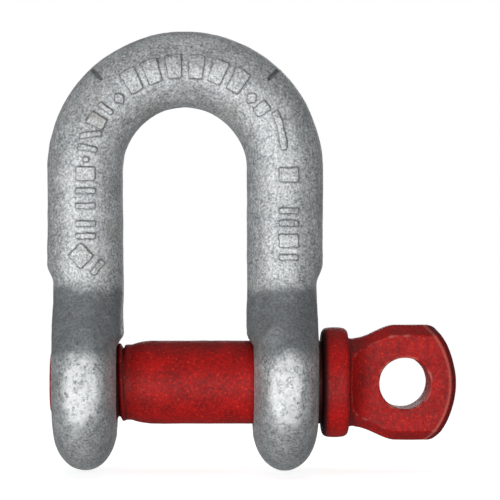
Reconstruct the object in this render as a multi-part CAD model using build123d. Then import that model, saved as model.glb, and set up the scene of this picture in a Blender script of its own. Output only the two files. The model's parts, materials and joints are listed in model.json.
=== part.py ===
from build123d import *
import math
import os

# Screw-pin dee shackle: a drop-forged bow, and the forged screw pin that closes its jaw.
#
# Frame: the origin is on the pin's axis, midway between the legs. +X runs along the pin towards
# its head, +Z runs up to the crown, and the bow lies in the XZ plane. All sizes are in millimetres.

# ---- Driving dimensions: the bow ----
STOCK_D = 25.8  # round section of the legs and the crown
INSIDE_WIDTH = 42.9  # clear width between the legs
INSIDE_LENGTH = 80.4  # from the top of the pin to the inside of the crown
EAR_D = 60.6  # outside diameter of the ears
EAR_THICKNESS = 21.95  # thickness of an ear at its flat faces
EAR_RECESS = 1.9  # how far an ear's inner face stands back from the leg's inner line
EAR_RIM_DEPTH = 15.0  # radial depth of the ear's rounded rim
FLARE_R = 8.5  # concave radius where a leg spreads into its ear
STEP_HEIGHT = 6.9  # length of the outer step from the leg down to the thinner ear
STEP_GAP = 1.4  # from the bottom of that step down to the start of the flare
FOOT_SHARE = 0.93  # depth of a foot, as a share of the ear disc it runs into
FOOT_SINK = 0.5  # how far a foot's sides end up below the ear's faces
FOOT_OVERLAP = 1.5  # how far below the top of the pin a foot ends
FOOT_LEVELS = (0.0, 0.22, 0.45, 0.78)  # where a foot's sections stand, as shares of its drop from the step
MOUTH_FLARE = 1.6  # how much wider than the pin each hole's countersunk mouth is, at the leg's inner line

# ---- Driving dimensions: the screw pin ----
PIN_D = 28.6  # plain shank
THREAD_STEP = 0.95  # how far the thread's crests lie below the shank, so that the thread passes the plain ear
THREAD_PITCH = 3.175  # right-handed, eight turns to the inch
THREAD_LEAD = 0.98  # how far along from the thread's start its crest passes the bottom of the pin
PIN_PROUD = 0.85  # how far the pin's end stands out of the threaded ear
TIP_LENGTH = 2.1  # plain pilot end beyond the thread
TIP_DEPTH = 0.5  # how far the pilot end lies below the thread's root
TIP_BEVEL = 0.8
THREAD_SHOWS = 1.2  # length of thread left showing inside the jaw
LAND_DEPTH = 0.4  # how far the land lies below the thread's crests
LAND_LENGTH = 2.0  # plain land between the thread and the shank's lead-in cone
CONE_LENGTH = 4.0  # lead-in cone up to the shank
COLLAR_STEP = 4.65  # how far the collar stands out of the shank
COLLAR_WIDTH = 9.0
COLLAR_ROUND = 2.6  # rounding of the collar's rim
NECK_STEP = 0.95  # how far the round neck, between the collar and the eye lug, stands out of the shank
NECK_LENGTH = 2.0
LUG_LENGTH = 34.8  # from the end of the neck to the nose
LUG_WIDTH = 39.6
LUG_FLANK = 14.5  # length over which the lug spreads from the neck to its full width
LUG_THICKNESS = 17.0
LUG_NOSE_R = 29.2
LUG_CORNER_R = 2.8  # rounding of the two corners beside the nose
LUG_DRAFT = 3.4  # how far the flat faces stand back from the lug's long edges
LUG_EDGE = 5.0  # thickness left at the long edges, between the two drafts
NOSE_BEVEL = 1.4
EYE_D = 17.4
EYE_OFFSET = 17.7  # eye centre, inwards from the nose
EYE_ROUND = 0.4  # rounding of the eye's rims

# ---- Fits ----
PIN_CLEARANCE = 0.9  # radial, shank in the plain ear
THREAD_CLEARANCE = 0.25  # radial, between the pin's thread and the ear's
FLANK_CLEARANCE = 0.2  # along the axis, on each flank of the thread
COLLAR_GAP = 1.6  # between the collar and the plain ear, with the pin not fully home
JOINT_LINE = 0.02  # between the pin and its pilot end
OVERCUT = 1.0  # how far a cutter runs past the face that it leaves by

# ---- Worked out from the values above ----
STOCK_R = STOCK_D / 2
PIN_R = PIN_D / 2
EAR_R = EAR_D / 2
LEG_INNER = INSIDE_WIDTH / 2
LEG_OUTER = LEG_INNER + STOCK_D
LEG_AXIS = LEG_INNER + STOCK_R
EAR_INNER = LEG_INNER + EAR_RECESS
EAR_OUTER = EAR_INNER + EAR_THICKNESS
EAR_AXIS = (EAR_INNER + EAR_OUTER) / 2
CROWN_Z = PIN_R + INSIDE_LENGTH - LEG_INNER
PLAIN_HOLE_R = PIN_R + PIN_CLEARANCE
MOUTH_R = PIN_R + MOUTH_FLARE
FLARE_Z = math.sqrt((EAR_R + FLARE_R) ** 2 - (STOCK_R + FLARE_R) ** 2)
STEP_Z = FLARE_Z + STEP_GAP

THREAD_R = PIN_R - THREAD_STEP
THREAD_DEPTH = 0.5413 * THREAD_PITCH  # five eighths of the height of a sharp 60 degree V
CREST_HALF = THREAD_PITCH / 8
FLANK_SLOPE = math.tan(math.radians(30))
CORE_R = THREAD_R - THREAD_DEPTH
ROOT_SINK = 0.1  # how far the ridge's foot is sunk into its core
CORE_SPARE_TURNS = 4  # before it is trimmed, the core runs past both ends of its ridge by this many turns

COLLAR_R = PIN_R + COLLAR_STEP
NECK_R = PIN_R + NECK_STEP
COLLAR_X = EAR_OUTER + COLLAR_GAP
NECK_X = COLLAR_X + COLLAR_WIDTH
LUG_X = NECK_X + NECK_LENGTH
NOSE_X = LUG_X + LUG_LENGTH
EYE_X = NOSE_X - EYE_OFFSET
FLANK_X = LUG_X + LUG_FLANK
PIN_END = -EAR_OUTER - PIN_PROUD
THREAD_START = PIN_END + TIP_LENGTH
THREAD_END = -LEG_INNER + THREAD_SHOWS
CONE_START = THREAD_END + LAND_LENGTH
SHANK_START = CONE_START + CONE_LENGTH
LAND_R = THREAD_R - LAND_DEPTH
TIP_R = CORE_R - TIP_DEPTH


def flare_depth(z):
    """Half depth, front to back, of a leg's foot at height z: the bar, then a concave arc, then the ear."""
    if z >= FLARE_Z:
        return STOCK_R
    if z >= FLARE_Z * EAR_R / (EAR_R + FLARE_R):
        return STOCK_R + FLARE_R - math.sqrt(FLARE_R**2 - (FLARE_Z - z) ** 2)
    return FOOT_SHARE * math.sqrt(EAR_R**2 - z**2)


def foot_section(z, inner, outer):
    """One oval cross-section of the right leg's foot, at height z."""
    centre = Plane(((inner + outer) / 2, 0, z))
    return centre * Ellipse((outer - inner) / 2, flare_depth(z))


def foot():
    """The right leg's foot: it steps in on the outside, spreads front and back, and runs into the ear."""
    low = PIN_R - FOOT_OVERLAP
    drop = STEP_Z - low
    sections = [foot_section(STEP_Z + STEP_HEIGHT, LEG_INNER, LEG_OUTER)]
    for share in FOOT_LEVELS:
        sections.append(foot_section(STEP_Z - share * drop, LEG_INNER, EAR_OUTER - share * FOOT_SINK))
    sections.append(foot_section(low, EAR_INNER - FOOT_SINK, EAR_OUTER - FOOT_SINK))
    return loft(sections)


def ear():
    """The right ear: a disc round the pin's axis, with a deep oval rim."""
    flat_r = EAR_R - EAR_RIM_DEPTH
    half = EAR_THICKNESS / 2
    rim = EllipticalCenterArc((EAR_AXIS, flat_r), half, EAR_RIM_DEPTH, start_angle=0, arc_size=180)
    edge = Polyline(rim @ 1, (EAR_AXIS - half, 0), (EAR_AXIS + half, 0), rim @ 0)
    return revolve(make_face([rim, edge]), Axis.X)


def leg():
    """The straight part of the right leg, from the outer step up to the crown."""
    top = CROWN_Z
    bottom = STEP_Z + STEP_HEIGHT
    return Pos(LEG_AXIS, 0, (top + bottom) / 2) * Cylinder(STOCK_R, top - bottom)


def crown():
    """The half ring that joins the two legs."""
    section = Plane((LEG_AXIS, 0, CROWN_Z)) * Circle(STOCK_R)
    return revolve(section, Axis((0, 0, CROWN_Z), (0, -1, 0)), 180)


def along_x(radius, start, end):
    """A cylinder on the pin's axis, from start to end."""
    disc = Plane((start, 0, 0), x_dir=(0, 1, 0), z_dir=(1, 0, 0)) * Circle(radius)
    return extrude(disc, end - start)


def cone_along_x(start, start_r, end, end_r):
    """A cone frustum on the pin's axis."""
    outline = Polyline((start, 0), (start, start_r), (end, end_r), (end, 0), close=True)
    return revolve(make_face(outline), Axis.X)


def thread_ridge(turns, first_x, gap):
    """A right-handed V ridge round the pin's axis. A gap above 0 gives the wider form that cuts the ear's thread."""
    root_r = CORE_R - ROOT_SINK
    crest_r = THREAD_R
    flank = 0
    if gap > 0:
        root_r += gap
        crest_r += gap
        flank = FLANK_CLEARANCE
    root_half = CREST_HALF + (THREAD_R - root_r) * FLANK_SLOPE + flank
    crest_half = CREST_HALF + (THREAD_R - crest_r) * FLANK_SLOPE + flank
    profile = Plane.XZ * Polygon(
        (root_r, -root_half), (crest_r, -crest_half), (crest_r, crest_half), (root_r, root_half), align=None
    )
    spine = Helix(THREAD_PITCH, turns * THREAD_PITCH, root_r)
    ridge = sweep(profile, path=spine, is_frenet=True)
    return Pos(first_x, 0, 0) * Rot(0, 90, 0) * ridge


def ear_thread_cutter():
    """What the tap removes from the left ear: a core and its helical groove, past both faces."""
    turns = math.ceil((EAR_OUTER - LEG_INNER) / THREAD_PITCH) + 4
    first = THREAD_START - 2 * THREAD_PITCH + THREAD_LEAD
    core = along_x(CORE_R + THREAD_CLEARANCE, first - THREAD_PITCH, first + (turns + 1) * THREAD_PITCH)
    return core + thread_ridge(turns, first, THREAD_CLEARANCE)


def bow():
    """The whole bow: crown, legs, feet and ears in one forging, drilled on the right and tapped on the left."""
    right = leg() + foot() + ear()
    body = crown() + right + mirror(right, Plane.YZ)
    mouth_depth = MOUTH_R - CORE_R
    body -= along_x(PLAIN_HOLE_R, 0, EAR_OUTER + OVERCUT)
    body -= cone_along_x(LEG_INNER - OVERCUT, MOUTH_R + OVERCUT, LEG_INNER + mouth_depth, CORE_R)
    body -= cone_along_x(-LEG_INNER + OVERCUT, MOUTH_R + OVERCUT, -LEG_INNER - mouth_depth, CORE_R)
    return body - ear_thread_cutter()


def pin_thread():
    """The pin's thread: a core and its ridge, chamfered at the start and cut square at the land."""
    turns = math.ceil((THREAD_END - THREAD_START) / THREAD_PITCH) + 2
    chamfer = THREAD_R - TIP_R
    envelope = cone_along_x(THREAD_START, TIP_R, THREAD_START + chamfer, THREAD_R)
    envelope += along_x(THREAD_R + OVERCUT, THREAD_START + chamfer, THREAD_END)
    spare = CORE_SPARE_TURNS * THREAD_PITCH
    core = along_x(CORE_R, THREAD_START - spare, THREAD_END + spare)
    ridge = thread_ridge(turns, THREAD_START - THREAD_PITCH + THREAD_LEAD, 0)
    return (core + ridge) & envelope


def collar():
    """The round collar that closes against the plain ear, with its rim rounded."""
    outline = Pos(COLLAR_X + COLLAR_WIDTH / 2, COLLAR_R / 2) * Rectangle(COLLAR_WIDTH, COLLAR_R)
    rim = outline.vertices().group_by(Axis.Y)[-1]
    return revolve(fillet(rim, COLLAR_ROUND), Axis.X)


def lug_outline():
    """The lug seen along Y: neck, S-curved flanks, straight edges and a curved nose."""
    half = LUG_WIDTH / 2
    neck = NECK_R
    corner_x = NOSE_X - LUG_NOSE_R + math.sqrt(LUG_NOSE_R**2 - half**2)
    upper = Spline((FLANK_X, half), (LUG_X, neck), tangents=((-1, 0), (-1, 0)))
    lower = Spline((FLANK_X, -half), (LUG_X, -neck), tangents=((-1, 0), (-1, 0)))
    back = Polyline(upper @ 1, (NECK_X, neck), (NECK_X, -neck), lower @ 1)
    nose = ThreePointArc((corner_x, half), (NOSE_X, 0), (corner_x, -half))
    top = Line(upper @ 0, nose @ 0)
    bottom = Line(nose @ 1, lower @ 0)
    face = make_face([upper, back, lower, bottom, nose, top])
    corners = face.vertices().group_by(Axis.X)[-1]
    return Plane.XZ * fillet(corners, LUG_CORNER_R)


def lug_side():
    """The lug seen along Z: the round neck falls through a concave quarter to the flat plate."""
    neck = NECK_R
    flat = LUG_THICKNESS / 2
    hollow = neck - flat
    upper = RadiusArc((LUG_X, neck), (LUG_X + hollow, flat), -hollow)
    lower = RadiusArc((LUG_X, -neck), (LUG_X + hollow, -flat), hollow)
    back = Polyline(upper @ 0, (NECK_X, neck), (NECK_X, -neck), lower @ 0)
    bevel_x = NOSE_X - NOSE_BEVEL
    bevel_y = flat - NOSE_BEVEL
    front = Polyline(upper @ 1, (bevel_x, flat), (NOSE_X, bevel_y), (NOSE_X, -bevel_y), (bevel_x, -flat), lower @ 1)
    return make_face([upper, back, lower, front])


def lug_section():
    """The lug seen along X: a plate whose long edges are drafted from the parting line to both faces."""
    half = LUG_WIDTH / 2
    flat = LUG_THICKNESS / 2
    tall = half - LUG_DRAFT
    rise = NECK_R + OVERCUT
    slope = LUG_DRAFT / (flat - LUG_EDGE / 2)
    top = tall - (rise - flat) * slope
    points = [(LUG_EDGE / 2, half), (rise, top), (rise, -top), (LUG_EDGE / 2, -half)]
    points += [(-y, z) for y, z in reversed(points)]
    section = Plane((NECK_X, 0, 0), x_dir=(0, 1, 0), z_dir=(1, 0, 0)) * Polygon(*points, align=None)
    return extrude(section, NOSE_X - NECK_X, dir=(1, 0, 0))


def eye_cutter():
    """What is cut for the eye, with rounded rims at both faces."""
    flat = LUG_THICKNESS / 2
    wall = EYE_X + EYE_D / 2
    lip = wall + EYE_ROUND
    inner = flat - EYE_ROUND
    upper = RadiusArc((wall, inner), (lip, flat), EYE_ROUND)
    lower = RadiusArc((wall, -inner), (lip, -flat), -EYE_ROUND)
    out_y = flat + OVERCUT
    outside = Polyline(upper @ 1, (lip, out_y), (EYE_X, out_y), (EYE_X, -out_y), (lip, -out_y), lower @ 1)
    wall_line = Line(upper @ 0, lower @ 0)
    return revolve(make_face([upper, outside, lower, wall_line]), Axis((EYE_X, 0, 0), (0, 1, 0)))


def lug():
    """The flat eye lug that the pin is turned by, running out of the round neck."""
    neck = NECK_R
    spread = LUG_WIDTH / 2
    plate = extrude(lug_outline(), LUG_WIDTH, both=True) & extrude(lug_side(), LUG_WIDTH, both=True)
    plate &= lug_section()
    swell = along_x(neck, NECK_X, LUG_X) + cone_along_x(LUG_X, neck, LUG_X + spread, neck + spread)
    swell += along_x(neck + spread, LUG_X + spread, NOSE_X)
    return (plate & swell) - eye_cutter()


def screw_pin():
    """The screw pin in one piece: thread, land, lead-in cone, shank, collar, neck and eye lug."""
    shank = along_x(PIN_R, SHANK_START, COLLAR_X)
    land = along_x(LAND_R, THREAD_END, CONE_START)
    lead_in = cone_along_x(CONE_START, LAND_R, SHANK_START, PIN_R)
    return pin_thread() + land + lead_in + shank + collar() + lug()


def pin_tip():
    """The pin's plain pilot end, which starts it in the threaded ear."""
    bevel_end = PIN_END + TIP_BEVEL
    nose = cone_along_x(PIN_END, TIP_R - TIP_BEVEL, bevel_end, TIP_R)
    return nose + along_x(TIP_R, bevel_end, THREAD_START - JOINT_LINE)


def main():
    os.makedirs("parts", exist_ok=True)
    nodes = {"bow": bow(), "screw_pin": screw_pin(), "pin_tip": pin_tip()}
    for name, solid in nodes.items():
        export_step(solid, f"parts/{name}.step")


if __name__ == "__main__":
    main()
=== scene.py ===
import bmesh
import bpy
import json
import math
import numpy as np
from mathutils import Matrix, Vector


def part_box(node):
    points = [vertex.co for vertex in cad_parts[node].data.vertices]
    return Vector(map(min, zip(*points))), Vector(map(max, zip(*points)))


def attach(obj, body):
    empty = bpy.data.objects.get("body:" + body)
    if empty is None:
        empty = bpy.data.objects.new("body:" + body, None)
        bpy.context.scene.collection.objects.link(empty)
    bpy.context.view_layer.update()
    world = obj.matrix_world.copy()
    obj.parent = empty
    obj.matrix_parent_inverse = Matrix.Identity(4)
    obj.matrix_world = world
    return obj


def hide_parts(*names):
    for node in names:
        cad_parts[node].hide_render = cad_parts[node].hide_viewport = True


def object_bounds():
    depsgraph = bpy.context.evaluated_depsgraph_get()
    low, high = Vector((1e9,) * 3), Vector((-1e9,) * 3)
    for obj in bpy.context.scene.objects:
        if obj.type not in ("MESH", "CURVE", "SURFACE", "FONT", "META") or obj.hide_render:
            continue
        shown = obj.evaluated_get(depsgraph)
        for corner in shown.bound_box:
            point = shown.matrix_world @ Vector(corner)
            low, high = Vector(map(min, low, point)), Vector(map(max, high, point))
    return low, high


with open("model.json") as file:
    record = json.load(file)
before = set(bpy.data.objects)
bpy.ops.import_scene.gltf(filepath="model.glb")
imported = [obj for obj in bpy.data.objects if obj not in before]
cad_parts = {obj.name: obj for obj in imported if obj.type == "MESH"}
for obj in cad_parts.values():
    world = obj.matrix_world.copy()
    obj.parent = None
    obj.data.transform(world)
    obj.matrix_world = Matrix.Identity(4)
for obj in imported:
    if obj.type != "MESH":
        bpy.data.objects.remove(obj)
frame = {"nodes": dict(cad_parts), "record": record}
cad_low, cad_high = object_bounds()

# ---------------------------------------------------------------------------------------------
# Studio: a matt white paper floor that runs out into a white surround, two large soft boxes low
# in front, and weaker ones behind and above.
# ---------------------------------------------------------------------------------------------
VIEW_DISTANCE = 0.79  # metres, from the pin's axis to the camera
VIEW_HEIGHT = 0.0455
VIEW_WIDTH = 0.17225  # what the view's width covers at the pin's axis
VIEW_SHIFT = 0.13  # moves the view towards the pin's head, as a share of its width
FLOOR_HALF = 1.5
FLOOR_FADE = (0.12, 0.5)  # the paper runs out between these distances
FLOOR_GAP = 0.0004  # from the ears' lowest point down to the paper


def linear(code):
    """An sRGB hex colour as linear light."""
    parts = [int(code[i : i + 2], 16) / 255 for i in (1, 3, 5)]
    return [c / 12.92 if c <= 0.04045 else ((c + 0.055) / 1.055) ** 2.4 for c in parts] + [1.0]


def add(tree, kind, settings=None, inputs=None):
    """Adds one node with its settings, and gives its inputs values or links from other nodes' sockets."""
    node = tree.nodes.new(kind)
    for name, value in (settings or {}).items():
        setattr(node, name, value)
    for name, value in (inputs or {}).items():
        if isinstance(value, bpy.types.NodeSocket):
            tree.links.new(value, node.inputs[name])
        else:
            node.inputs[name].default_value = value
    return node


def new_material(name):
    """An empty material, and its node tree."""
    material = bpy.data.materials.new(name)
    material.use_nodes = True
    material.node_tree.nodes.clear()
    return material, material.node_tree


def soft_box(name, place, size, power):
    """A square soft box, turned towards the middle of the shackle."""
    data = bpy.data.lights.new(name, "AREA")
    data.size = size
    data.energy = power
    lamp = bpy.data.objects.new(name, data)
    lamp.location = place
    middle = (cad_low + cad_high) / 2
    lamp.rotation_euler = (middle - Vector(place)).to_track_quat("-Z", "Y").to_euler()
    scene.collection.objects.link(lamp)


scene = bpy.context.scene
scene.view_settings.view_transform = "Standard"

camera_data = bpy.data.cameras.new("studio_camera")
camera_data.lens = camera_data.sensor_width * VIEW_DISTANCE / VIEW_WIDTH
camera_data.shift_x = VIEW_SHIFT
camera = bpy.data.objects.new("studio_camera", camera_data)
camera.location = (0.0, -VIEW_DISTANCE, VIEW_HEIGHT)
camera.rotation_euler = (math.radians(90), 0.0, 0.0)
scene.collection.objects.link(camera)
scene.camera = camera

soft_box("key_box", (-0.66, -0.84, -0.22), 0.55, 7.4)
soft_box("front_box", (0.23, -1.06, -0.10), 0.55, 5.8)
soft_box("top_box", (0.0, 0.10, 1.10), 0.70, 1.5)
soft_box("back_box", (0.15, 1.20, 0.25), 0.60, 4.0)

world = bpy.data.worlds.new("white_surround")
scene.world = world
world.use_nodes = True
tree = world.node_tree
tree.nodes.clear()
seen = add(tree, "ShaderNodeBackground", None, {"Color": linear("#ffffff"), "Strength": 1.0})
cast = add(tree, "ShaderNodeBackground", None, {"Color": linear("#e6e8ea"), "Strength": 0.30})
rays = add(tree, "ShaderNodeLightPath")
seen_or_cast = {0: rays.outputs["Is Camera Ray"], 1: cast.outputs[0], 2: seen.outputs[0]}
surround = add(tree, "ShaderNodeMixShader", None, seen_or_cast)
add(tree, "ShaderNodeOutputWorld", None, {"Surface": surround.outputs[0]})

floor_mesh = bpy.data.meshes.new("paper_floor")
corners = [(-1, -1), (1, -1), (1, 1), (-1, 1)]
floor_mesh.from_pydata([(x * FLOOR_HALF, y * FLOOR_HALF, 0.0) for x, y in corners], [], [(0, 1, 2, 3)])
floor = bpy.data.objects.new("paper_floor", floor_mesh)
floor.location.z = cad_low.z - FLOOR_GAP
floor.visible_shadow = False
floor.visible_diffuse = False
floor.visible_glossy = False
scene.collection.objects.link(floor)
paper, tree = new_material("matt_white_paper")
place = add(tree, "ShaderNodeTexCoord")
reach = add(tree, "ShaderNodeVectorMath", {"operation": "LENGTH"}, {0: place.outputs["Object"]})
fade = add(tree, "ShaderNodeMapRange", {"interpolation_type": "SMOOTHSTEP"}, {
    "Value": reach.outputs["Value"], "From Min": FLOOR_FADE[0], "From Max": FLOOR_FADE[1],
})
sheet = add(tree, "ShaderNodeBsdfPrincipled", None, {
    "Base Color": linear("#f2f2f1"), "Roughness": 0.9,
    "Emission Color": linear("#ffffff"), "Emission Strength": 0.72,
})
clear = add(tree, "ShaderNodeBsdfTransparent")
sheet_or_clear = {0: fade.outputs["Result"], 1: sheet.outputs[0], 2: clear.outputs[0]}
edge = add(tree, "ShaderNodeMixShader", None, sheet_or_clear)
add(tree, "ShaderNodeOutputMaterial", None, {"Surface": edge.outputs[0]})
floor_mesh.materials.append(paper)

# ---------------------------------------------------------------------------------------------
# Bow: one drop forging of carbon steel, bent from round bar, with an ear upset at each end. The
# right ear is drilled plain and the left one is tapped. It is hot-dip galvanised all over.
# ---------------------------------------------------------------------------------------------
MM = 0.001
mounts = {mount["name"]: mount for mount in frame["record"]["mounts"]}
bow_low, bow_high = (np.array(corner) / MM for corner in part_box("bow"))
tip_low, tip_high = (np.array(corner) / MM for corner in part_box("pin_tip"))

PIN_R = mounts["load_pin"]["dims"]["r_mm"]
LEG_OUTER = bow_high[0]
STOCK_R = (bow_high[2] - mounts["crown_seat"]["pos_m"][2] / MM) / 2
LEG_AXIS = LEG_OUTER - STOCK_R
LEG_INNER = LEG_OUTER - 2 * STOCK_R
CROWN_Z = bow_high[2] - LEG_OUTER
CROWN_LENGTH = math.pi * LEG_AXIS
EAR_R = -bow_low[2]
EAR_INNER = LEG_INNER + 1.9  # an ear's inner face stands back from the leg's inner line
EAR_OUTER = LEG_OUTER - 1.95  # its outer face stands back from the leg's outer line
STEP_TOP = 40.7  # the leg's outer side steps in to the ear from this height
STEP_FOOT = 33.8  # down to this one
INNER_STEP = (16.5, 12.5)  # the inner side steps out between these heights
RIM_BLEND = (4.0, 16.0)  # the oval rim goes over into the round leg between these heights
EAR_AXIS = (EAR_INNER + EAR_OUTER) / 2
RIM_DEPTH = 15.0  # how far an ear's oval rim reaches in
FLARE_R = 8.5  # where a leg spreads into its ear
EAR_FLAT = EAR_R - 0.8  # the ears' front and back are trimmed flat here
PLAIN_HOLE_R = PIN_R + 0.9
MOUTH_R = PIN_R + 1.6
EDGE_ROUND = 0.8

THREAD_R = PIN_R - 0.95
THREAD_PITCH = 3.175
THREAD_DEPTH = 1.72
THREAD_CREST = 0.4  # half the width of a crest
THREAD_PLAY = 0.25
THREAD_START = tip_high[0] + 0.02
THREAD_LEAD = 0.98  # a crest passes the bottom of the pin this far inside the thread's start


def soft_max(a, b, r):
    """The larger of two forms, with the edge between them rounded over about r."""
    h = np.maximum(r - np.abs(a - b), 0.0) / r
    return np.maximum(a, b) + h * h * r / 4


def soft_min(a, b, r):
    """The smaller of two forms, with the corner between them filled over about r."""
    return -soft_max(-a, -b, r)


def ramp(value, start, end):
    """0 at start and 1 at end, with an S-shaped rise between."""
    t = np.clip((value - start) / (end - start), 0.0, 1.0)
    return t * t * (3 - 2 * t)


def thread_height(x, y, z, play):
    """Radius of the right-handed V thread, at each point's own angle and place along the pin's axis."""
    turn = (np.arctan2(z, y) + math.pi / 2) / (2 * math.pi)
    along = (x - THREAD_START - THREAD_LEAD) / THREAD_PITCH - turn
    from_crest = np.abs((along + 0.5) % 1.0 - 0.5) * THREAD_PITCH
    crest = THREAD_R + play
    flank = crest - (from_crest - THREAD_CREST - play / 2) * math.sqrt(3)
    return np.clip(flank, crest - THREAD_DEPTH, crest)


def side_outline(y, z):
    """Distance outside the bow as seen from the side: the leg's bar, the ear's disc and the flare between."""
    disc = np.hypot(y, z) - EAR_R
    bar = np.where(z > 0, np.abs(y) - STOCK_R, disc)
    nook = FLARE_R - np.hypot(np.maximum(FLARE_R - disc, 0.0), np.maximum(FLARE_R - bar, 0.0))
    nearer = np.minimum(disc, bar)
    return np.where((z > 0) & (disc < FLARE_R) & (bar < FLARE_R), np.minimum(nook, nearer), nearer)


def bow_form(p):
    """How far each point stands outside the forging."""
    x, y, z = p.T
    side = np.abs(x)
    ring = np.hypot(np.hypot(x, z - CROWN_Z) - LEG_AXIS, y) - STOCK_R
    step = ramp(z, STEP_TOP, STEP_FOOT)
    inner = LEG_INNER + (EAR_INNER - LEG_INNER) * ramp(z, *INNER_STEP)
    outer = LEG_OUTER + (EAR_OUTER - LEG_OUTER) * step
    half = (outer - inner) / 2
    deep = RIM_DEPTH + (STOCK_R - RIM_DEPTH) * ramp(z, *RIM_BLEND)
    across = side - (inner + outer) / 2
    inwards = np.maximum(1 + side_outline(y, z) / deep, 0.0)
    reach = np.hypot(across / half, inwards)
    slope = np.hypot(across / half**2, inwards / deep)
    plate = reach * (reach - 1) / np.maximum(slope, 1e-6)
    plate = soft_max(plate, np.abs(y) - EAR_FLAT, 2.5)
    body = np.where(z > CROWN_Z, ring, plate)
    r = np.hypot(y, z)
    mouth = (MOUTH_R + LEG_INNER - side - r) / math.sqrt(2)
    body = soft_max(body, mouth, EDGE_ROUND)
    plain = PLAIN_HOLE_R - r
    tapped = thread_height(x, y, z, THREAD_PLAY) - r
    return soft_max(body, np.where(x > 0, plain, tapped), EDGE_ROUND)


def lumps(points, size, seed):
    """Smooth random lumps, from -1 to 1, about size apart."""
    cells = 32
    lattice = np.random.default_rng(seed).uniform(-1, 1, (cells, cells, cells))
    grid = points / size + cells
    cell = np.floor(grid).astype(int)
    share = grid - cell
    share = share * share * (3 - 2 * share)
    total = np.zeros(len(points))
    for corner in np.ndindex(2, 2, 2):
        weight = np.where(corner, share, 1 - share).prod(1)
        total += weight * lattice[tuple(((cell + corner) % cells).T)]
    return total


def points_of(piece):
    """A piece's points, in millimetres."""
    flat = np.empty(len(piece.data.vertices) * 3)
    piece.data.vertices.foreach_get("co", flat)
    return flat.reshape(-1, 3) / MM


def move_to(piece, points):
    """Puts a piece's points at the given places in millimetres."""
    piece.data.vertices.foreach_set("co", (points * MM).ravel())
    piece.data.update()


def even_copy(node, name, grid):
    """A copy of a CAD node's solid, as a mesh of even squares."""
    piece = bpy.data.objects.new(name, frame["nodes"][node].data.copy())
    scene.collection.objects.link(piece)
    squares = piece.modifiers.new("even_squares", "REMESH")
    squares.mode = "VOXEL"
    squares.voxel_size = grid * MM
    mesh = bpy.data.meshes.new_from_object(piece.evaluated_get(bpy.context.evaluated_depsgraph_get()))
    piece.modifiers.clear()
    piece.data = mesh
    mesh.name = name
    mesh.materials.clear()
    mesh.shade_smooth()
    return piece


def slope_of(form, points, probe=0.03):
    """The direction in which a form grows, at each point."""
    return np.stack([(form(points + s) - form(points - s)) / (2 * probe) for s in np.eye(3) * probe], axis=1)


def press(piece, form, passes=4):
    """Presses a mesh onto the surface of a form, and gives back its points and their outward directions."""
    points = points_of(piece)
    for _ in range(passes):
        slope = slope_of(form, points)
        move = form(points) / np.maximum((slope**2).sum(1), 0.05)
        points -= np.clip(move, -0.8, 0.8)[:, None] * slope
    move_to(piece, points)
    slope = slope_of(form, points)
    return points, slope / np.maximum(np.linalg.norm(slope, axis=1), 1e-6)[:, None]


def bend_of(form, points, span=0.6):
    """How sharply a form bends at each point: above 0 on an edge, below 0 in a hollow."""
    around = sum(form(points + s) + form(points - s) for s in np.eye(3) * span)
    return (around - 6 * form(points)) / span**2


def store(piece, name, values):
    """Stores one number for each point, for the materials to use."""
    layer = piece.data.attributes.new(name, "FLOAT", "POINT")
    layer.data.foreach_set("value", values.astype(np.float32))


def pattern(tree, place, size, **settings):
    """A noise pattern with marks about size apart."""
    inputs = {"Vector": place, "Scale": 1 / size}
    inputs.update({name.title(): value for name, value in settings.items()})
    return add(tree, "ShaderNodeTexNoise", None, inputs).outputs["Fac"]


def stretch(tree, value, start, end, low=0.0, high=1.0):
    """Spreads the values between start and end over low to high."""
    limits = {"From Min": start, "From Max": end, "To Min": low, "To Max": high}
    return add(tree, "ShaderNodeMapRange", None, {"Value": value, **limits}).outputs["Result"]


def blend(tree, share, first, second):
    """One colour going over into another."""
    return add(tree, "ShaderNodeMix", {"data_type": "RGBA"}, {0: share, 6: first, 7: second}).outputs[2]


def average(tree, share, first, second):
    """One value going over into another."""
    return add(tree, "ShaderNodeMix", None, {0: share, 2: first, 3: second}).outputs[0]


def two_tone(tree, value, dark, light):
    """A colour between a dark and a light one, each given with the value where it starts."""
    tone = add(tree, "ShaderNodeValToRGB", None, {"Fac": value})
    for stop, (start, colour) in zip(tone.color_ramp.elements, (dark, light)):
        stop.position = start
        stop.color = linear(colour)
    return tone.outputs["Color"]


def stored(tree, name):
    """A number that was stored for each point of the mesh."""
    return add(tree, "ShaderNodeAttribute", {"attribute_name": name}).outputs["Fac"]


def combine(tree, operation, first, second):
    """A sum, product or maximum of two values."""
    return add(tree, "ShaderNodeMath", {"operation": operation}, {0: first, 1: second}).outputs[0]


def bump(tree, height, depth, under=None):
    """Dents of the given depth, on top of those under them."""
    inputs = {"Strength": 1.0, "Distance": depth, "Height": height}
    if under is not None:
        inputs["Normal"] = under
    return add(tree, "ShaderNodeBump", None, inputs).outputs["Normal"]


def along_bow(p):
    """Each point's place along the bow's centre line, from the left ear's hole, and its offset outwards."""
    x, y, z = p.T
    angle = math.pi - np.arctan2(z - CROWN_Z, x)
    straight = np.where(x < 0, z, 2 * CROWN_Z + CROWN_LENGTH - z)
    along = np.where(z > CROWN_Z, CROWN_Z + LEG_AXIS * angle, straight)
    offset = np.where(z > CROWN_Z, np.hypot(x, z - CROWN_Z), np.abs(x)) - LEG_AXIS
    return along, offset


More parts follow.
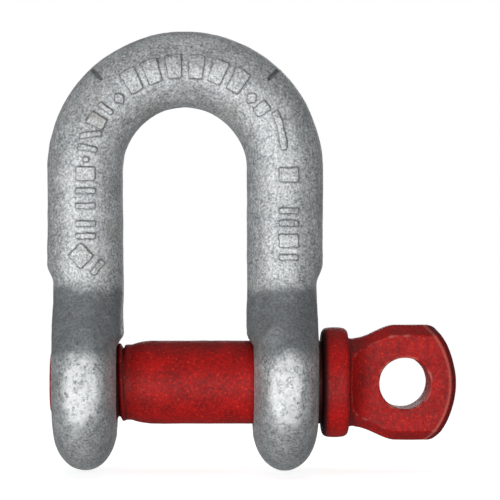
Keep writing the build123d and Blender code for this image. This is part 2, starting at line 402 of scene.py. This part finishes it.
# Raised forging marks on the front: plain pads, bars and dots, each with its place along the bow,
# its offset, its length along the bow, its width across it, and its turn in degrees.
MARK_HEIGHT = 0.75
MARK_WALL = 0.4
RIGHT_LEG = 2 * CROWN_Z + CROWN_LENGTH
MARKS = [(43.5, 1.0, 6.2, 6.2, 45), (39.6, -4.6, 5.6, 1.9, -38)]
MARKS += [(place, -0.6, 1.9, 6.6, 0) for place in (50.2, 54.4, 60.4, 65.6)]
MARKS += [(71.4, -0.6, 4.6, 6.2, 0), (76.2, -0.6, 1.8, 2.0, 0)]
MARKS += [(80.2, -0.6, 1.9, 6.4, 0), (85.0, -0.4, 1.9, 7.0, 28)]
MARKS += [(90.2, -0.4, 4.2, 6.0, 0), (95.4, -0.6, 1.8, 5.4, 0), (101.2, -1.8, 3.0, 3.0, 45)]
for count, turn in enumerate((-3, 2, -1, 3, -2, 1)):
    MARKS += [(CROWN_Z + CROWN_LENGTH / 2 + (count - 2.5) * 7.5, 0.2, 5.0, 7.8, turn)]
MARKS += [(153.4, -1.6, 3.0, 3.0, 45), (158.6, -1.4, 3.8, 4.8, 0), (168.4, 0.6, 13.0, 2.2, -8)]
for height, length in ((71.0, 4.8), (58.8, 2.0), (54.6, 2.0), (48.6, 4.4), (43.0, 1.9)):
    MARKS += [(RIGHT_LEG - height, 0.8, length, 6.4, 0)]
NOTCHES = [(CROWN_Z + CROWN_LENGTH * share, 9.6, 0.8, 5.4, 0) for share in (0.26, 0.74)]


def mark_distance(p, marks):
    """Distance outside the nearest mark, measured over the front of the bow."""
    along, offset = along_bow(p)
    nearest = np.full(len(p), 99.0)
    for place, shift, length, width, turn in marks:
        c, s = math.cos(math.radians(turn)), math.sin(math.radians(turn))
        u = np.abs((along - place) * c + (offset - shift) * s) - length / 2 + 0.6
        v = np.abs((offset - shift) * c - (along - place) * s) - width / 2 + 0.6
        outside = np.hypot(np.maximum(u, 0), np.maximum(v, 0)) + np.minimum(np.maximum(u, v), 0) - 0.6
        nearest = np.minimum(nearest, outside)
    return np.where(p[:, 1] < 0, nearest, 99.0)


def refine(piece, wanted):
    """Cuts the squares with a wanted point into nine."""
    mesh = bmesh.new()
    mesh.from_mesh(piece.data)
    mesh.verts.ensure_lookup_table()
    faces = {face for vert, want in zip(mesh.verts, wanted) if want for face in vert.link_faces}
    edges = {edge for face in faces for edge in face.edges}
    bmesh.ops.subdivide_edges(mesh, edges=list(edges), cuts=2, use_grid_fill=True)
    mesh.to_mesh(piece.data)
    mesh.free()
    piece.data.shade_smooth()


bow = even_copy("bow", "bow_forging", 0.6)
points = points_of(bow)
refine(bow, (np.abs(mark_distance(points, MARKS)) < 0.7) | (mark_distance(points, NOTCHES) < 0.8))
points, outwards = press(bow, bow_form)

radius = np.hypot(points[:, 1], points[:, 2])
outside = ramp(radius, MOUTH_R, MOUTH_R + 3.0)
wall = mark_distance(points, MARKS) + 0.2 * lumps(points, 1.5, 8)
notch = mark_distance(points, NOTCHES)
# A paler patch on the front and back of each ear: partly rubbed, flattened zinc and partly a painted
# highlight.
front = np.hypot((np.abs(points[:, 0]) - EAR_AXIS) / 8.5, (points[:, 2] + 2.8) / 14.0)
scuff_and_highlight = ramp(front + 0.25 * lumps(points, 3.5, 5), 1.15, 0.75) * ramp(np.abs(points[:, 1]), 24.0, 28.5)
forged = 0.16 * lumps(points, 11.0, 1) + 0.07 * lumps(points, 3.6, 2) + 0.03 * lumps(points, 1.5, 3)
relief = outside * forged
relief += outside * 0.22 * np.exp(-((points[:, 1] / 0.9) ** 2))
relief += scuff_and_highlight * (0.16 * lumps(points, 2.4, 4) - 0.05)
relief += MARK_HEIGHT * ramp(wall, MARK_WALL / 2, -MARK_WALL / 2) * (1 + 0.25 * lumps(points, 2.5, 6))
relief -= 0.45 * ramp(notch, 0.2, -0.4)
move_to(bow, points + relief[:, None] * outwards)
# Painted shade: darker outlines of uneven strength at the feet of the raised marks, darker notches, and
# darker hole mouths where the countersinks lie in shadow.
wear_and_highlight = 0.75 + 0.35 * lumps(points, 2.0, 7)
shade_and_dirt = 0.55 * np.exp(-((wall - 0.25) / 0.35) ** 2) * wear_and_highlight + 0.8 * ramp(notch, 0.4, 0.0)
shade_and_dirt += ramp(radius, MOUTH_R + 0.6, MOUTH_R - 0.8)
store(bow, "shade_and_dirt", np.clip(shade_and_dirt, 0, 1))
store(bow, "scuff_and_highlight", scuff_and_highlight)
# Painted shade: darker above each ear, where the leg flares out, and lower down on the ears, left off the
# paler patches.
brow = points[:, 2] + 1.4 * lumps(points, 4.0, 10)
painted_shade = ramp(brow, 34.5, 30.0) * ramp(points[:, 2], 4.0, 15.0)
painted_shade += 0.35 * ramp(points[:, 2], 6.0, 0.0) * outside
store(bow, "painted_shade", np.clip(painted_shade * (1 + 0.3 * lumps(points, 6.0, 9)), 0, 1) * (1 - scuff_and_highlight))

# Hot-dip galvanised steel: cloudy grey zinc with a fine bright and dark grain, small pits and a few
# brown tints. Painted shade darkens the zone above each ear, the ears' lower parts, the feet of the
# raised marks, the notches and the hole mouths; the paler patch on each ear's front is partly rubbed
# zinc and partly a painted highlight. The real grain is 0.1 to 0.3 mm; it is drawn at 0.8 mm so
# that it shows.
CLOUD = 9.0 * MM
MOTTLE = 2.4 * MM
GRAIN = 0.8 * MM
STAIN = 16 * MM
PIT = 1.6 * MM
zinc, tree = new_material("hot_dip_galvanised_steel")
place = add(tree, "ShaderNodeTexCoord").outputs["Object"]
cloud = pattern(tree, place, CLOUD, detail=3.0)
mottle = pattern(tree, place, MOTTLE, detail=3.0, distortion=0.4)
grain = pattern(tree, place, GRAIN, detail=2.0, roughness=0.7)
mixed = average(tree, 0.68, average(tree, 0.5, cloud, mottle), grain)
tone = two_tone(tree, mixed, (0.37, "#7c8082"), (0.64, "#dddfdf"))
bright = combine(tree, "MULTIPLY", stored(tree, "scuff_and_highlight"), stretch(tree, mottle, 0.42, 0.6, high=0.75))
# Paler zinc on the ears' fronts: rubbed zinc with a painted highlight.
scuffed_and_highlighted = blend(tree, bright, tone, linear("#d6d8d7"))
stain = stretch(tree, pattern(tree, place, STAIN, detail=4.0, roughness=0.7), 0.58, 0.75, high=0.35)
stained = blend(tree, stain, scuffed_and_highlighted, linear("#8f877c"))
# Painted shade: darker grey above each ear and low on the ears.
shaded_zinc = blend(tree, combine(tree, "MULTIPLY", stored(tree, "painted_shade"), 0.7), stained, linear("#65696b"))
pit = stretch(tree, pattern(tree, place, PIT, detail=1.0), 0.70, 0.78, high=0.8)
# Near-black: painted shade at the marks' feet, in the notches and in the hole mouths, together with real dark
# pits.
shade_dirt_and_pits = combine(tree, "MULTIPLY", combine(tree, "MAXIMUM", stored(tree, "shade_and_dirt"), pit), 0.85)
skin = add(tree, "ShaderNodeBsdfPrincipled", None, {
    "Base Color": blend(tree, shade_dirt_and_pits, shaded_zinc, linear("#3c3d3e")),
    "Metallic": 0.6,
    "Roughness": stretch(tree, mottle, 0.3, 0.7, 0.5, 0.68),
    "Normal": bump(tree, grain, 0.06 * MM, bump(tree, mottle, 0.10 * MM)),
})
add(tree, "ShaderNodeOutputMaterial", None, {"Surface": skin.outputs[0]})
bow.data.materials.append(zinc)
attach(bow, "bow")
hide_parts("bow")

# ---------------------------------------------------------------------------------------------
# Screw pin: one forging of alloy steel, with a rolled thread, a plain shank, a collar, a round
# neck and a flat lug with an eye to turn it by. It is painted red all over.
# ---------------------------------------------------------------------------------------------
eye = np.array(mounts["lug_eye"]["pos_m"]) / MM
EYE_R = mounts["lug_eye"]["dims"]["r_mm"]
pin_high = np.array(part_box("screw_pin")[1]) / MM
EYE_X = eye[0]
NOSE_X = pin_high[0]
LUG_LENGTH = 34.8
LUG_HALF = pin_high[2]  # half the lug's width, across the long edges
LUG_FLAT = 8.5  # half its thickness
LUG_EDGE = 2.5  # half the thickness left at its long edges
LUG_DRAFT = 3.4
LUG_NOSE_R = 29.2
LUG_CORNER = 1.6
LUG_X = NOSE_X - LUG_LENGTH
LUG_FLANK = 14.5  # the lug spreads to its full width over this length
SCOOP_X = LUG_X - 1.3  # the round neck is scooped down to the flat faces from here
SCOOP_LENGTH = 7.5
NOSE_BEVEL = 1.8
NECK_R = PIN_R + 0.95
NECK_X = LUG_X - 2.0
COLLAR_R = pin_high[1]
COLLAR_WIDTH = 9.0
COLLAR_X = NECK_X - COLLAR_WIDTH
COLLAR_ROUND = 2.0
COLLAR_CROWN = 0.5  # how far the collar's rim falls away towards its edges
THREAD_END = -LEG_INNER + 1.2
CONE_START = THREAD_END + 2.0
SHANK_START = CONE_START + 4.0
LAND_R = THREAD_R - 0.4
SCOOP_DEPTH = NECK_R - LUG_FLAT
WORN_ROUND = 0.6


def lug_form(x, y, z):
    """How far each point stands outside the eye lug and its neck."""
    width = NECK_R + (LUG_HALF - NECK_R) * ramp(x, LUG_X, LUG_X + LUG_FLANK)
    tilt = LUG_DRAFT / (LUG_FLAT - LUG_EDGE)
    outline = np.abs(z) - width
    drafted = (outline + tilt * (np.abs(y) - LUG_EDGE)) / math.hypot(1.0, tilt)
    body = soft_max(outline, drafted, WORN_ROUND)
    nose = np.hypot(x - NOSE_X + LUG_NOSE_R, z) - LUG_NOSE_R
    body = soft_max(body, nose, LUG_CORNER)
    left = np.clip((SCOOP_X + SCOOP_LENGTH - x) / SCOOP_LENGTH, 0.0, 1.5)
    depth = (NECK_R - np.minimum(np.abs(y), NECK_R)) / SCOOP_DEPTH
    scoop = (1 - np.hypot(left, depth)) * SCOOP_DEPTH
    bevel = (nose + np.abs(y) - LUG_FLAT + NOSE_BEVEL) / math.sqrt(2)
    face = soft_max(scoop, bevel, WORN_ROUND)
    body = soft_max(body, face, WORN_ROUND)
    swell = (np.hypot(y, z) - NECK_R - np.maximum(x - LUG_X, 0.0)) / np.where(x > LUG_X, math.sqrt(2), 1.0)
    body = soft_max(body, swell, WORN_ROUND)
    body = soft_max(body, NECK_X - 1.0 - x, WORN_ROUND)
    return soft_max(body, EYE_R - np.hypot(x - EYE_X, z), 0.8)


def pin_form(p):
    """How far each point stands outside the screw pin."""
    x, y, z = p.T
    r = np.hypot(y, z)
    thread = soft_max(r - thread_height(x, y, z, 0.0), THREAD_START - x, 0.3)
    thread = soft_max(thread, (r - THREAD_R + 2.2 + THREAD_START - x) / math.sqrt(2), 0.4)
    thread = soft_max(thread, x - THREAD_END, 0.4)
    land = soft_max(r - LAND_R, np.abs(x - THREAD_END - 1.0) - 1.5, 0.4)
    cone = (r - LAND_R - (x - CONE_START) * (PIN_R - LAND_R) / (SHANK_START - CONE_START)) / 1.06
    shank = soft_max(r - PIN_R, cone, 1.0)
    shank = soft_max(shank, CONE_START - 0.5 - x, 0.3)
    shank = soft_max(shank, x - NECK_X, 0.3)
    half = COLLAR_WIDTH / 2
    across = np.abs(x - COLLAR_X - half)
    collar = soft_max(r - COLLAR_R + COLLAR_CROWN * (across / half) ** 2, across - half, COLLAR_ROUND)
    body = np.minimum(np.minimum(thread, land), shank)
    body = soft_min(body, collar, 0.8)
    return soft_min(body, lug_form(x, y, z), 1.2)


pin = even_copy("screw_pin", "screw_pin_forging", 0.5)
points, outwards = press(pin, pin_form)
bend = bend_of(pin_form, points)
radius = np.hypot(points[:, 1], points[:, 2])
plain = ramp(points[:, 0], CONE_START, SHANK_START)
relief = plain * (0.07 * lumps(points, 7.0, 11) + 0.035 * lumps(points, 2.2, 12) - 0.03)
move_to(pin, points + relief[:, None] * outwards)
# Painted shadow: a near-black band on the shank and collar in the gap between the ear and the collar.
gap_shadow = ramp(points[:, 0], COLLAR_X - 4.0, COLLAR_X - 2.0) * ramp(points[:, 0], COLLAR_X + 2.2, COLLAR_X + 0.6)
# Painted shade in hollows and, on the next line, over the thread.
shade_and_dirt = 0.7 * ramp(bend, -0.10, -0.7) + gap_shadow
shade_and_dirt += 0.35 * ramp(points[:, 0], CONE_START + 1.0, THREAD_END - 1.0)
# Paler convex edges: worn paint on the neck and lug.
wear_and_highlight = ramp(bend + 0.6 * lumps(points, 1.8, 13), 0.8, 1.6)
wear_and_highlight *= ramp(points[:, 0], COLLAR_X + 6.0, COLLAR_X + COLLAR_WIDTH)
nose = np.hypot(points[:, 0] - NOSE_X + LUG_NOSE_R, points[:, 2]) - LUG_NOSE_R
# Painted shade on the lug's nose bevel.
shade_and_dirt += 0.65 * ramp(nose, -1.9, -1.3) * ((points[:, 0] > EYE_X) & (np.abs(points[:, 1]) > 2.0))
# Painted highlight: a thin pale line along the edge of the lug's nose bevel.
wear_and_highlight = np.maximum(wear_and_highlight, 0.8 * np.exp(-(((nose + 2.2) / 0.35) ** 2)) * (points[:, 0] > EYE_X))
store(pin, "shade_and_dirt", np.clip(shade_and_dirt, 0, 1))
store(pin, "wear_and_highlight", wear_and_highlight)

# Red enamel on rough forged steel: semi-gloss, with the forging's grain showing through, light specks
# where dust has settled, pale edges that are partly worn paint and partly a painted highlight along the
# lug's nose, and painted shade in the hollows, over the thread, on the lug's nose bevel and in the gap
# at the collar; the pilot end has random dark oil patches instead. The specks are drawn at 0.9 mm.
SPECK = 0.9 * MM
PEEL = 2.0 * MM
WASH = 8 * MM
red, tree = new_material("red_enamel_on_forged_steel")
place = add(tree, "ShaderNodeTexCoord").outputs["Object"]
peel = pattern(tree, place, PEEL, detail=3.0)
wash = pattern(tree, place, WASH, detail=3.0)
fine = pattern(tree, place, SPECK, detail=2.0, roughness=0.7)
tone = two_tone(tree, average(tree, 0.62, wash, fine), (0.36, "#6e0504"), (0.66, "#b60a06"))
dusty = blend(tree, stretch(tree, fine, 0.64, 0.74, high=0.7), tone, linear("#c8482c"))
# Pale edges: worn paint, with a painted highlight along the lug's nose.
edged = blend(tree, combine(tree, "MULTIPLY", stored(tree, "wear_and_highlight"), 0.6), dusty, linear("#c07a6c"))
# Near-black: painted shade on the pin, and random dark oil patches on the pilot end.
shade_and_oil = combine(tree, "MULTIPLY", stored(tree, "shade_and_dirt"), 0.9)
skin = add(tree, "ShaderNodeBsdfPrincipled", None, {
    "Base Color": blend(tree, shade_and_oil, edged, linear("#1c0706")),
    "Roughness": stretch(tree, peel, 0.3, 0.7, 0.55, 0.7),
    "Specular IOR Level": 0.25,
    "Normal": bump(tree, fine, 0.04 * MM, bump(tree, peel, 0.08 * MM)),
})
add(tree, "ShaderNodeOutputMaterial", None, {"Surface": skin.outputs[0]})
pin.data.materials.append(red)
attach(pin, "pin")
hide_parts("screw_pin")

# ---------------------------------------------------------------------------------------------
# Pilot end: the plain nose of the same forging, turned down below the thread's root, which starts
# the pin in the tapped ear. It is painted with the rest.
# ---------------------------------------------------------------------------------------------
TIP_R = tip_high[2]


def tip_form(p):
    """How far each point stands outside the pilot end."""
    x, y, z = p.T
    r = np.hypot(y, z)
    body = soft_max(r - TIP_R, x - tip_high[0], 0.1)
    body = soft_max(body, tip_low[0] - x, 0.1)
    return soft_max(body, (r - TIP_R + 0.8 + tip_low[0] - x) / math.sqrt(2), 0.6)


tip = even_copy("pin_tip", "pin_pilot_end", 0.4)
points, outwards = press(tip, tip_form)
store(tip, "shade_and_dirt", 0.3 * ramp(lumps(points, 3.0, 21), 0.0, 0.8))
store(tip, "wear_and_highlight", ramp(lumps(points, 2.0, 22), 0.3, 0.8))
tip.data.materials.append(red)
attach(tip, "pin_slide")
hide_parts("pin_tip")
